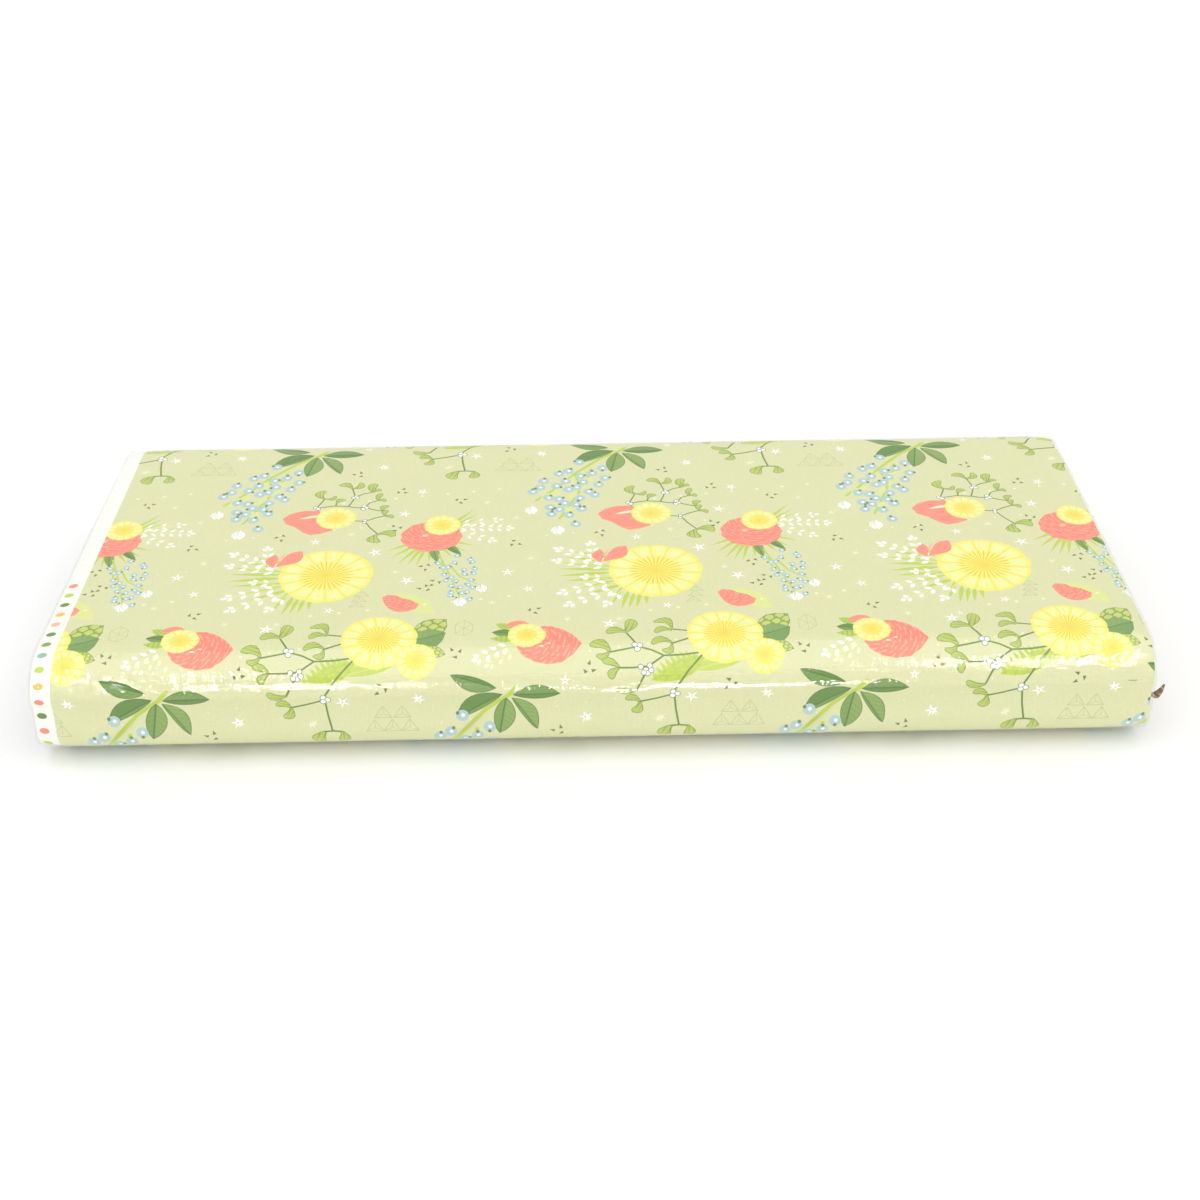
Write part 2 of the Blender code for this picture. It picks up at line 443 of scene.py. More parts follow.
def star(centre, radius, colour, turn):
    angles = np.radians(90 + turn + np.arange(10) * 36)
    reach = np.where(np.arange(10) % 2 == 0, radius, radius * 0.27)
    outline = round_about(centre, reach, angles)
    return Shape(outline, "flat", colour, None, centre, (1, 0), (radius, radius))


def dashes(centre, turn):
    """Three little wedges thrown together."""
    made = []
    for angle, reach, lean in ((40, 2.8, 20), (165, 2.7, 75), (280, 2.3, -35)):
        place = round_about(centre, reach, math.radians(angle + turn))
        made.append(oval(place, 1.8, 1.15, colour=DASH, tilt=lean + turn, points=3))
    return made


def sprig(base, tip, pairs, leaf_length, leaf_width, lean=46, colour=WHITE):
    """A stalk with pairs of small leaves, shorter towards its tip."""
    base, tip, _, axis, across = run(base, tip)
    made = [stem([base, tip], 0.7, LIME_PALE)]
    for step in range(pairs):
        share = (step + 0.6) / pairs
        size = leaf_length * (1 - 0.35 * share)
        for side in (-1, 1):
            turn = math.radians(side * lean)
            way = axis * math.cos(turn) + across * math.sin(turn)
            start = base + share * (tip - base) + way * 0.8
            made.append(leaf(start, start + way * size, leaf_width, colour=colour, points=3))
    made.append(leaf(tip, tip + axis * leaf_length * 0.7, leaf_width, colour=colour, points=3))
    return made


def spike(base, tip, width):
    return leaf(base, tip, width, full=0.25, points=3)


def berries(radius, *places):
    """White berries with a thin outline."""
    made = []
    for place in places:
        made += [oval(place, radius + 0.3, colour=CAP_GREY, points=8), oval(place, radius - 0.1, points=8)]
    return made


def blue_berry(place, radius, cap_turn):
    """A pale blue berry with a white glint and a small grey-green cap."""
    cap = round_about(place, radius, math.radians(cap_turn))
    glint = (place[0] + 0.1 * radius, place[1] + 0.05 * radius)
    return [oval(place, radius * 1.14, radius * 1.2, "flat", BERRY, BERRY_PALE, points=9),
            oval(glint, radius * 0.36, radius * 0.4, points=7),
            oval(cap, radius * 0.34, radius * 0.4, colour=CAP_GREY, points=6)]


def white_bud(place, size, tilt):
    """A closed white flower of four blunt petals."""
    made = []
    for lean, reach in ((-38, 0.85), (-12, 1.0), (14, 1.0), (40, 0.8)):
        tip = round_about(place, 6.4 * size * reach, math.radians(tilt + lean - 100))
        base = (place[0], place[1] + 4.6 * size)
        petal = leaf(base, tip, 4.4 * size, "flat", WHITE, CREAM, full=0.6, points=4)
        made += outlined(petal, 0.3, BUD_LINE)
    return made


def big_yellow():
    """The large yellow blossom, its fronds and white sprigs."""
    made = []
    for x, y, tip_x, tip_y, width in (
            (12, 152, -20, 158, 3.4), (10, 150, -21, 151.5, 3.2), (10, 147, -21, 144.5, 3.6),
            (12, 142, -18, 139.5, 3.4), (14, 140, -12, 131, 3.2), (15, 136, -7, 125.5, 3.2),
            (14, 134, 7, 114.5, 2.6), (17, 130, 12.5, 112, 2.8), (20, 128, 16.5, 112.5, 2.6),
            (23, 127, 20.5, 113, 2.6), (26, 126, 26, 116, 2.4), (12, 160, -10, 168, 3.0),
            (8, 158, -17, 163, 3.0)):
        made.append(spike((x, y), (tip_x, tip_y), width))
    for row in (((8, 155), (-20, 171), 5, 6.0, 2.6, 40), ((8, 152), (-21, 159.5), 4, 5.6, 2.6, 38),
                ((0, 158), (-2.5, 176), 3, 5.6, 2.6, 38), ((10, 138), (-18, 128.5), 4, 6.0, 2.7, 42),
                ((12, 132), (-15, 117), 4, 5.6, 2.7, 42), ((14, 131), (5, 117), 2, 5.4, 2.6, 36),
                ((6, 141), (-6, 143), 2, 5.0, 2.4, 40)):
        made += sprig(*row)
    made += blossom((32, 148.5), 25.5, 14, 12, 0.3)
    return made + [leaf((3, 158), (17, 173.5), 10, "plush", CORAL, CORAL_PALE, -1.5, 0.62),
                   leaf((2.5, 157), (2.5, 170.5), 7, "plush", CORAL, CORAL_PALE, 1.5, 0.55),
                   leaf((4, 163), (8, 172), 1.5, colour=CORAL_PALE, points=3)]


def twig_leaves(*rows):
    made = []
    for x, y, tip_x, tip_y, width, curl in rows:
        made += outlined(paddle((x, y), (tip_x, tip_y), width, curl * 1.5), 0.35, TWIG)
    return made


def yellow_pair():
    """Two yellow blossoms with leaves, and the mistletoe twig beside them."""
    made = [leaf((76, 74), (46, 66), 9, "hatch", LIME, LIME_PALE)]
    for share in np.linspace(0.12, 0.9, 9):
        middle = (54 - 27 * share, 72.5 - 11 * share)
        reach = 7.6 * math.sin(math.pi * share ** 0.8)
        for side in (-1, 1):
            made.append(spike(middle, (middle[0] - 3 - 0.2 * reach, middle[1] + side * reach), 2.6))
    made.append(leaf((54, 72.5), (27, 61), 10, "scales", LIME, OLIVE, 1))
    made += outlined(leaf((80, 86), (99, 105), 15, "scales", OLIVE_PALE, TWIG, full=0.6), 0.3, TWIG)
    made += outlined(leaf((78, 84), (99, 93), 15, "leaf", LEAF_BLUE, LEAF_DARK, -1, 0.6), 0.3, LEAF_DARK)
    made += outlined(leaf((88, 80), (99.5, 76.5), 7, "scales", OLIVE_PALE, TWIG), 0.3, TWIG)
    routes = (((54, 75.5), (43, 74), (33, 73.7), (27, 77), (20, 79.4)), ((20, 79.4), (17, 85), (14.4, 90)),
              ((20, 79.4), (12, 77.5), (5.6, 76.2)), ((33, 73.7), (25, 68), (23, 63.7), (18.7, 55.6)),
              ((25, 68), (17, 67.4), (10, 67.5)), ((53.7, 75), (45, 65), (38.7, 56.2), (38, 53)),
              ((38, 53), (29, 50), (20.6, 48)), ((38, 53), (39, 43), (40.6, 33.7)),
              ((36, 33.2), (41, 33.6), (46, 33)), ((48, 91), (38.2, 92.8)), ((47, 85), (37.5, 81)))
    made += [stem(route, 1.0) for route in routes]
    made += twig_leaves((14.2, 91, 17.5, 102, 6.2, -0.6), (14, 91, 4, 91, 5.4, -1.4),
                        (5.6, 77, -4.5, 81.5, 6.0, -1.8), (5.2, 76.6, -1.2, 74, 3.4, 1.2),
                        (10, 68, 1.8, 71.6, 3.6, -0.6), (9.6, 67.2, 5.4, 62.2, 4.0, -0.6),
                        (18.7, 55.8, 9, 57, 3.4, 1.0), (20.4, 48.4, 13.2, 50.6, 4.2, -1.0),
                        (20.4, 48, 17, 41.8, 4.4, 1.2), (36.5, 33, 33, 24.6, 7.0, -1.0),
                        (45.6, 33, 45.4, 25.4, 5.6, 0.8), (38, 93.6, 29, 100, 5.0, -3.0),
                        (37.8, 92, 29, 90.4, 4.2, -1.6), (37.4, 81.6, 27, 81.4, 4.4, -2.0),
                        (37.4, 80.6, 32.6, 76.4, 3.6, 1.6))
    made += berries(1.5, (18.4, 80.6), (21, 80.2), (19.6, 77.8))
    made += berries(1.3, (21, 67.8), (23.6, 66.2), (25.6, 68.4), (24.6, 64.4), (26.4, 66), (22.6, 64.8))
    made += berries(1.5, (37.4, 54.4), (39.6, 53), (37.2, 51.8))
    return made + blossom((65, 88.7), 19.8, 14, 8.2, 1.1) + blossom((84.5, 73.5), 10.4, 12, 4.2, 0.4)


def coral_fan():
    """The coral blossom with scalloped rows and its small yellow neighbour."""
    made = sprig((-44, 82), (-62, 73.5), 4, 5.0, 2.2)
    made += sprig((-42, 79), (-56, 70.5), 3, 4.6, 2.0, colour=CREAM)
    made += [leaf((-45, 96), (-53, 100), 5.5, "scales", LIME, LEAF_MID),
             leaf((-43, 91), (-55, 92.5), 7, "leaf", LEAF_DARK, LEAF_VEIN),
             leaf((-43, 86), (-55.5, 87), 5.5, "scales", LIME, LEAF_MID)]
    outline = [(-42, 80), (-39, 75), (-33, 71.5), (-26, 70), (-19, 71), (-13, 75.5), (-8.6, 82),
               (-12.5, 88.5), (-18, 94), (-24, 97.2), (-29, 97.6), (-34, 92), (-40, 86)]
    made += [Shape(outline, "strokes", CORAL, CORAL_PALE, (-37, 86), (1, -0.12), (29, 29)),
             oval((-29.4, 80.8), 1.3, 0.7, "flat", CREAM, WHITE, points=6),
             oval((-25.6, 82.6), 1.1, 0.6, "flat", CREAM, WHITE, points=6),
             leaf((-34, 97.5), (-48, 99.5), 8.6, "plush", CORAL, CORAL_PALE, full=0.5)]
    return made + blossom((-37, 90), 9.9, 12, 4.2, 2.0)


def leaf_sprig(x, y):
    """The sprig of five leaves on a lime stem, at its hub, with its spray of blue berries."""
    def at(*places):
        return [(x + px, y + py) for px, py in places]
    made = []
    for width, *route in ((2.6, (3.5, 4), (0, 0), (-12, -9), (-27.2, -26.2)),
                          (1.9, (-27.2, -26.2), (-34, -37), (-41.2, -46.2), (-49.9, -56.2)),
                          (1.9, (-16.8, -20), (-20, -34), (-29.9, -61.2), (-36.2, -76.2)),
                          (1.4, (-27.2, -26.2), (-24, -38), (-23.1, -45))):
        made.append(stem(at(*route), width, LIME, 0.8))
    made.append(leaf(*at((3, 4), (5.6, 5.6)), 2, colour=OLIVE_PALE))
    for base, tip, width, bend, colour in (((-6.5, 4), (-29.5, 11), 7.2, 1.6, LEAF_DARK),
                                           ((-3.5, 0.5), (-27.2, -14), 9.4, -2.6, LEAF_DARK),
                                           ((-1.5, -2), (-5.5, -24), 10.6, 1.0, LEAF_MID),
                                           ((1.5, -2), (14, -21.5), 7.4, 2.4, LEAF_MID),
                                           ((2.1, 0), (25.9, 0.4), 7.8, 1.0, LEAF_DARK)):
        made += outlined(leaf(*at(base, tip), width, "leaf", colour, LEAF_VEIN, bend, 0.5, 8), 0.3, LEAF_VEIN)
    for px, py in ((-29, -33), (-38, -47), (-22, -41), (-28, -50), (-34, -58), (-44, -51), (-31, -66),
                   (-19, -33)):
        ends = at((px + 2, py + 4), (px - 2, py - 5))
        made.append(leaf(*ends, 4.4, "flat", LIME_PALE, BERRY_PALE, points=3))
    for px, py, cap in (
            (-24.2, -12.7, 150), (-36.2, -25.7, 80), (-16.8, -25.7, 90), (-23.7, -28.7, 20),
            (-9.3, -31.2, 10), (-44.9, -33.7, 80), (-32.2, -34.3, 100), (-22.2, -35.7, 200),
            (-13.2, -38.7, 80), (-51.2, -45.7, 90), (-30.6, -43.7, 30), (-42.2, -52.7, 60),
            (-36.2, -54.3, 30), (-24.2, -53.7, 250), (-15.6, -50, 90), (-41.2, -63.1, 300),
            (-40.6, -70.7, 80), (-30.6, -71.7, 70), (-23.2, -65.2, 60), (-26.8, -81.7, 100),
            (-10.6, -19.7, 270), (-30.5, -22.5, 60), (-26, -41.5, 140), (-37.5, -39.5, 330), (-47, -41, 200),
            (-19, -46.5, 60), (-33, -59, 200), (-26.5, -60.5, 320), (-36, -65.5, 150)):
        made += blue_berry((x + px, y + py), 2.9, cap)
    return made + white_bud((x - 51.8, y - 65), 0.9, 10) + white_bud((x - 36.6, y - 86.7), 0.95, 5)


def coral_lily():
    """The plain coral flower, its yellow neighbour and the twig behind them."""
    routes = (((24, 212), (21, 216), (20, 218.7), (23.7, 228.7)),
              ((20, 218.7), (30, 221), (38, 220), (43, 218.5), (47.5, 218.7)), ((30.6, 221), (31, 224)),
              ((38, 220), (40, 226), (41, 230.6), (38.7, 240)), ((41, 230.6), (46, 234), (50.6, 235.6)),
              ((47.5, 218.7), (50, 224), (54.4, 226)), ((47.5, 218.7), (53, 216), (58, 214.4)),
              ((40, 205), (43, 204.4), (48.7, 203.7), (54, 207), (59.4, 209.4)),
              ((48.7, 203.7), (52, 197), (56.9, 190)))
    made = [stem(route, 0.8) for route in routes]
    made += twig_leaves((23.4, 229, 22.6, 238, 5.0, 2.0), (24.4, 229, 30, 231.6, 2.6, -1.4),
                        (31, 223.6, 35.4, 227.4, 3.2, 1.2), (38.4, 240, 31, 244.4, 4.2, -1.4),
                        (39, 240, 43.6, 246.2, 4.0, -1.6), (50.6, 236, 51.4, 245, 5.0, 0.8),
                        (51.2, 235.6, 55.4, 238, 2.6, 0.8), (54.6, 226.4, 55.8, 234, 3.2, 0.6),
                        (55, 226, 59, 225.2, 2.4, 0.8), (58, 214.8, 60.6, 220.2, 3.4, 1.2),
                        (59.6, 209.8, 60.2, 215.4, 3.0, 0.6), (59.8, 209, 64.2, 207.2, 2.6, 0.8),
                        (56.6, 189.6, 57.4, 181, 6.4, -2.0), (57.6, 190, 66.8, 188, 5.8, 1.6))
    made += berries(1.3, (19.4, 219.4), (21, 218), (41.6, 231.2), (40.2, 229.6), (42.4, 229.6), (47, 220.2),
                    (48.4, 218.4), (46.6, 217.2))
    made += berries(1.1, (48.6, 204.6), (48.4, 202.4))
    outline = [(21, 216), (13, 216), (6, 213), (2, 208), (4, 202.5), (10, 198.5), (15, 193), (19.5, 190),
               (25, 191.5), (31.5, 194.5), (29, 199), (26, 205), (24.5, 212)]
    made += [Shape(outline, "plush", CORAL, CORAL_PALE, (3, 205), (1, -0.1), (28, 13)),
             leaf((22.5, 210.4), (11.5, 207.2), 2.6, colour=CREAM, full=0.35, points=4)]
    return made + blossom((32, 207.5), 11.4, 12, 4.6, 0.9)


def coral_burst():
    """The coral blossom with lime spikes, a white sprig and hanging blue berries."""
    tips = ((-67, 215.5), (-65.4, 210), (-65.6, 204.6), (-112.4, 165), (-108, 158.7), (-103, 157),
            (-98, 156.5), (-91, 160), (-70.6, 170), (-115, 172), (-66, 176), (-78, 164))
    made = [spike((-91, 186), tip, 3.0) for tip in tips]
    made += [leaf((-90, 178), (-86.5, 160), 5.6, "leaf", LEAF_MID, LEAF_VEIN),
             leaf((-84, 180), (-73.5, 167), 5.0, "leaf", LEAF_DARK, LEAF_VEIN)]
    made += sprig((-78, 196), (-48, 194), 6, 5.2, 2.1, 48) + sprig((-80, 192), (-57, 181.5), 4, 5.0, 2.1)
    made += sprig((-78, 199), (-54, 203), 3, 4.4, 2.0)
    for route in (((-86, 168), (-80, 150), (-73, 126)), ((-80, 158), (-74, 146), (-64, 138)),
                  ((-84, 160), (-82, 146))):
        made.append(stem(route, 1.2, LIME, 0.7))
    hanging = 26
    for number in range(hanging):
        share = (number + 0.5) / hanging
        swing = math.sin(number * 2.4) * (11 - 6 * share)
        place = (-76 + 4 * share + swing, 165 - 42 * share + 2 * math.cos(number * 1.7))
        made += blue_berry(place, 1.75, number * 77)
    made += white_bud((-61.8, 134.5), 0.75, 20) + white_bud((-72.5, 122), 0.85, 8)
    turn = np.arange(30) * TURN / 30
    outline = np.array([-91, 186.5]) + round_about((0, 0), 1 + 0.03 * np.cos(turn * 11), turn) * (17, 15.5)
    made += [Shape(outline, "strokes", CORAL, CORAL_PALE, (-88, 198), (0, -1), (28, 28)),
             oval((-94.5, 187.5), 1.8, 1.8, "flat", CORAL_PALE, WHITE, points=6)]
    return made + blossom((-85.5, 198.2), 10.2, 12, 4.6, 1.7)


def fan_bud():
    """The small coral fan and its lime leaf."""
    outline = [(64, 126.5), (66.5, 129), (72, 128), (74.5, 125.5), (79, 124), (84, 119.5), (82.5, 115.5),
               (78.5, 113.2), (74.5, 112.6), (70.5, 114), (67.5, 117), (65.5, 121)]
    return [leaf((71, 130), (92.5, 110.5), 13, colour=LIME_PALE, full=0.5),
            Shape(outline, "strokes", CORAL, CORAL_PALE, (66, 129), (0.8, -0.6), (22, 22))]


def net(corners):
    """A faint closed figure of thin lines, with a line from each corner to its middle."""
    middle = np.mean(corners, axis=0)
    made = []
    for start, end in zip(corners, np.roll(corners, -1, axis=0)):
        made += [stem([start, end], 0.4, NET), stem([start, middle], 0.3, NET)]
    return made


def scatter():
    """Stars, dashes, dots and faint line nets between the flowers."""
    made = []
    stars = ((-48, 149), (-36.6, 132.5), (76, 142.5), (36.9, 115), (-17.5, 61.5), (-7.5, 39.4), (46.9, 51),
             (86, 52), (6, 98.7), (-30.6, 277.5), (56, 264), (79.4, 235), (70.6, 211), (23, 182.7),
             (56.9, 171))
    small_stars = ((-55.6, 120), (-16, 103.7), (-35.6, 162.5), (69.4, 151), (42, 190), (30, 37.5), (-61, 222),
                   (11, 103), (-84, 263), (-44, 205))
    wedges = ((-33, 112), (-5, 67.5), (-73, 77.5), (-92, 135), (-87, 140), (3, 187.5), (-44.4, 178),
              (-76, 224.4), (68, 236), (67, 196), (41, 256), (-49, 283), (-93, 155.6))
    for number, place in enumerate(stars):
        made.append(star(place, (4.2, 3.6, 4.6, 3.4, 3.2, 3.8)[number % 6], WHITE, number * 17))
        made.append(oval(place, 0.55, colour=NET, points=5))
    for number, place in enumerate(small_stars):
        made.append(star(place, 2.7, CREAM, number * 31))
    for number, place in enumerate(wedges):
        made += dashes(place, number * 50)
    for number in range(46):
        place = ((number * 61.8) % 178 - 96, 24 + (number * 37.7 + 11) % 224)
        made.append(oval(place, 0.5 + 0.35 * (number % 3), colour=CREAM, points=5))
    made += net([(-74, 92), (-69.4, 90), (-65, 94), (-65, 100), (-69.4, 104), (-74, 100)])
    for column, row in ((0, 0), (1, 0), (2, 0), (0.5, 1), (1.6, 1)):
        x, y = 58 + 9 * column, 33 + 8 * row
        made += net([(x, y), (x + 4.5, y + 7), (x + 9, y)])
    for row in range(3):
        made += net([(47 + row, 118 + 5 * row), (51 + row, 123 + 5 * row), (55 + row, 118 + 5 * row)])
    return made


def repeat_shapes():
    """Every shape of one repeat, back to front."""
    return (scatter() + leaf_sprig(-46.2, 54.2) + big_yellow() + yellow_pair() + coral_fan() + coral_lily()
            + coral_burst() + fan_bud())


def cut_flat(corners, shapes, extra):
    """A flat polygon cut into triangles along the shapes drawn on it.

    extra are more points for it to pass through. Returns points,
    triangles and each triangle's top shape, or -1.
    """
    points = [tuple(corner) for corner in corners]
    faces = []
    for shape in shapes:
        faces.append(list(range(len(points), len(points) + len(shape.outline))))
        points.extend(map(tuple, shape.outline))
    points.extend(map(tuple, extra))
    count = len(corners)
    border = [(number, (number + 1) % count) for number in range(count)]
    flat, _, triangles, _, _, sources = delaunay_2d_cdt([Vector(p) for p in points], border, faces, 0, 0.01)
    flat = np.array([tuple(point) for point in flat])
    triangles = np.array(triangles)
    top = np.array([max(source) if len(source) else -1 for source in sources])
    middle = flat[triangles].mean(axis=1)
    inside = np.ones(len(middle), bool)
    for start, end in zip(corners, np.roll(corners, -1, axis=0)):
        side = end - start
        inside &= side[0] * (middle[:, 1] - start[1]) - side[1] * (middle[:, 0] - start[0]) > 0
    return flat, triangles[inside], top[inside]


def one_repeat():
    """One repeat of the print as a flat four-sided cell, cut along its shapes, and the shapes it uses."""
    across, up = np.array(REPEAT_ALONG), np.array(REPEAT_UP)
    origin = np.array(REPEAT_FROM)
    corners = np.array([origin, origin + across, origin + across + up, origin + up])
    used = []
    for row in (-1, 0, 1):
        for column in (-1, 0, 1):
            shift = column * across + row * up
            for shape in repeat_shapes():
                outline = shape.outline + shift - origin
                share_up = outline[:, 1] / up[1]
                share_across = (outline[:, 0] - share_up * up[0]) / across[0]
                if all(share.max() > 0 and share.min() < 1 for share in (share_up, share_across)):
                    used.append(shape.moved(shift))
    columns, rows = REPEAT_GRID
    grid = [origin + (column + 0.5 * (row % 2)) / columns * across + row / rows * up
            for row in range(rows + 1) for column in range(columns + 1)
            if column + 0.5 * (row % 2) <= columns]
    edges = [origin + row / rows * up + side * across for row in range(rows + 1) for side in (0, 1)]
    return *cut_flat(corners, used, grid + edges), used


# ---------------------------------------------------------------- the cloth's materials
def woven(shader, colour):
    """The cotton's surface: a plain weave of threads, slubs and a soft sheen."""
    x, along = shader.uv("Cloth")
    cross = (x * (TURN / WARP_STEP)).sine() * (along * (TURN / WEFT_STEP)).sine()
    slubs = shader.noise(shader.point(x * 0.12, along * 1.9), 1.0)
    slubs += shader.noise(shader.point(x * 1.8, along * 0.1), 1.0)
    bump = shader.bump(0.3, 0.00025, cross * 0.22 + slubs)
    shade = (slubs - 1.0) * 0.07 + (cross * 0.018 + 1.0)
    shaded = shader.add("VectorMath", {0: colour, 3: shade}, operation="SCALE").outputs[0]
    return shader.finish("BsdfPrincipled", {"Base Color": shaded, "Roughness": 0.85, "Sheen Weight": 0.15,
                                            "Specular IOR Level": 0.25, "Normal": bump})


class Ink(Shader):
    """A printed style's material. It reads each shape's two colours and its own axes."""

    def __init__(self, style):
        super().__init__("print_" + style)
        self.colour, self.mark = (
            self.add("Attribute", attribute_name=name, attribute_type="GEOMETRY").outputs["Color"]
            for name in ("Ink", "Mark"))
        self.t, self.v = self.uv("Local")
        self.count, self.seed = self.uv("Kind")
        self.cloth = self.point(*self.uv("Cloth"))

    def polar(self):
        """Distance from the shape's origin, and the angle about it in whole turns."""
        radius = (self.t * self.t + self.v * self.v).math("SQRT")
        return radius, self.math("ARCTAN2", self.v, self.t) * (1 / TURN)


def ground_ink(ink):
    tone = ink.noise(ink.cloth, 0.7, 3).band(0.3, 0.7) * 0.5 + ink.noise(ink.cloth, 0.03, 3) * 0.35
    return ink.mix(tone, ink.colour, ink.mark)


def flat_ink(ink):
    chalk = ink.noise(ink.cloth, 0.55, 2).band(0.45, 0.75)
    return ink.mix(chalk * 0.35, ink.colour, ink.mark)


def leaf_ink(ink):
    """A leaf with a rib, slanting veins and one half lighter."""
    size = abs(ink.v)
    rib = 1.0 - size.band(0.05, 0.12)
    veins = ((size * -0.16 + ink.t) * 46.0).sine().band(0.86, 0.98)
    light = ink.mix(ink.v.band(-0.05, 0.05) * 0.3, ink.colour, LEAF_LIGHT)
    fade = ink.mix(ink.t * 0.3, light, LEAF_DARK)
    return ink.mix((rib * 0.75).most(veins * 0.35), fade, ink.mark)


def hatch_ink(ink):
    """Thin stripes along the shape, fading towards its tip."""
    stripes = (ink.v * 8.0).sine().band(0.55, 0.9)
    body = ink.mix(ink.t * 0.6, ink.colour, OLIVE_PALE)
    return ink.mix(stripes * (ink.t.band(0.9, 0.2) * 0.3 + 0.25), body, ink.mark)


def petal_ink(ink):
    """A ring of petals: pale patches near the edge, gap lines, a glow and rays in the middle."""
    radius, angle = ink.polar()
    side = abs((angle * ink.count + ink.seed).fract() - 0.5) * 2.0
    streaks = ink.noise(ink.point(angle * 55.0, radius * 1.5), 1.6, 2)
    pale = side.band(0.88, 0.64) * radius.band(0.46, 0.6) * radius.band(0.95, 0.86) * streaks.band(0.3, 0.55)
    body = ink.mix(pale, ink.mark, ink.colour)
    body = ink.mix(streaks.band(0.52, 0.7) * 0.35, body, YELLOW_LINE)
    body = ink.mix(side.band(0.84, 0.98) * radius.band(0.4, 0.6) * 0.55, body, YELLOW_LINE)
    body = ink.mix((streaks * 0.3 + radius).band(0.8, 0.5) * 0.25, body, YELLOW_DEEP)
    rays = (ink.count * 2.0 * (angle * TURN)).sine().band(0.55, 0.9)
    rays *= (streaks * 0.35 + radius).band(0.76, 0.68)
    return ink.mix(rays * 0.7, body, YELLOW_DASH)


def disc_ink(ink):
    """A blossom's centre: uneven rays round a deep core, fading into the petals."""
    radius, angle = ink.polar()
    uneven = ink.noise(ink.point(angle * 20.0, radius), 2.0, 1) * 0.4 + radius
    rays = (angle * (ink.count * TURN)).sine().band(0.45, 0.85) * abs(uneven - 0.85).band(0.55, 0.35)
    body = ink.mix(uneven.band(0.45, 0.95), ink.colour, YELLOW)
    return ink.mix((rays * 0.85).most(radius.band(0.3, 0.1) * 0.35), body, ink.mark)


def scales_ink(ink):
    """Rows of scales, each shifted by half of one."""
    row = ink.t * 5.0
    shift = row.math("FLOOR").math("PINGPONG", 1.0) * 0.5
    cell = abs((ink.v * 1.6 + shift).fract() - 0.5)
    arc = (cell ** 2.0 * 1.4 + row).fract()
    return ink.mix(arc.band(0.72, 0.86).most(cell.band(0.38, 0.46)) * 0.8, ink.colour, ink.mark)


def strokes_ink(ink):
    """Rows of chalky strokes round the shape's origin."""
    radius, angle = ink.polar()
    row = ink.noise(ink.point(ink.t, ink.v), 3.0, 1) * 1.6 + radius * 13.0
    share = row.fract()
    dash = (angle * 10.0 + row.math("FLOOR") * 0.37).fract().band(0.75, 0.6)
    chalk = ink.noise(ink.cloth, 0.6, 2).band(0.34, 0.5)
    return ink.mix(share.band(0.35, 0.48) * share.band(0.82, 0.68) * dash * chalk * 0.8, ink.colour, ink.mark)


def plush_ink(ink):
    grain = ink.noise(ink.point(ink.t * 3.0, ink.v * 9.0), 1.4, 3).band(0.4, 0.75)
    return ink.mix(grain * 0.55, ink.colour, ink.mark)


STYLES = {"ground": ground_ink, "flat": flat_ink, "leaf": leaf_ink, "hatch": hatch_ink, "petal": petal_ink,
          "disc": disc_ink, "scales": scales_ink, "strokes": strokes_ink, "plush": plush_ink}


# ---------------------------------------------------------------- meshes
def mesh_object(name, points, faces, normals=None):
    """A smooth mesh from points in millimetres."""
    mesh = bpy.data.meshes.new(name)
    mesh.from_pydata((np.asarray(points) * MM).tolist(), [], faces)
    mesh.polygons.foreach_set("use_smooth", [True] * len(mesh.polygons))
    if normals is not None:
        mesh.normals_split_custom_set_from_vertices(normals.tolist())
    made = bpy.data.objects.new(name, mesh)
    bpy.context.collection.objects.link(made)
    return made


def grid_faces(rows, columns, closed=False):
    """Four-sided faces over points laid row by row. A closed grid joins its last column to its first."""
    faces = []
    for row in range(0, (rows - 1) * columns, columns):
        for column in range(columns if closed else columns - 1):
            a, b = row + column, row + (column + 1) % columns
            faces.append((a, b, b + columns, a + columns))
    return faces


def set_uv(mesh, name, values):
    """values is one pair for each face corner."""
    layer = mesh.uv_layers.new(name=name, do_init=False)
    layer.data.foreach_set("uv", np.asarray(values, dtype=np.float32).ravel())


def surface_normals(surface, x, along, inset, step=0.15):
    across = surface(x + step, along, inset) - surface(x - step, along, inset)
    round_it = surface(x, along + step, inset) - surface(x, along - step, inset)
    normal = np.cross(across, round_it)
    return normal / np.linalg.norm(normal, axis=1)[:, None]


def selvage_marks(low, high):
    """The row of small colour marks printed along the white selvage."""
    inks = (CORAL_PALE, ORANGE, LEAF_DARK, LIME, CORAL, LEAF_DARK, CORAL, ORANGE, LIME, TEAL, LEAF_MID,
            LEAF_DARK)
    made = []
    for number in range(math.ceil(low[1] / MARK_STEP), math.floor(high[1] / MARK_STEP)):
        place = number * MARK_STEP
        if MARKED[0] < place % ROUND < MARKED[1]:
            made.append(oval((low[0] + 3.8, place), 2.5, 1.9, colour=inks[number % len(inks)], points=8))
    return made


def straightened(flat):
    """Where places on the wound cloth, as seen square to the bolt, lie on the cloth laid out flat."""
    x = flat[:, 0].copy()
    for _ in range(4):
        x = flat[:, 0] - end_skew(x, flat[:, 1])
    return np.column_stack([x, flat[:, 1]])


def cut(built, point, normal, drop):
    """Cuts a flat mesh along a line, and drops the part outside it if asked."""
    parts = list(built.verts) + list(built.edges) + list(built.faces)
    bmesh.ops.bisect_plane(built, geom=parts, dist=0.01 if drop else 0.001, plane_co=(*point, 0),
                           plane_no=(*normal, 0), clear_outer=drop)


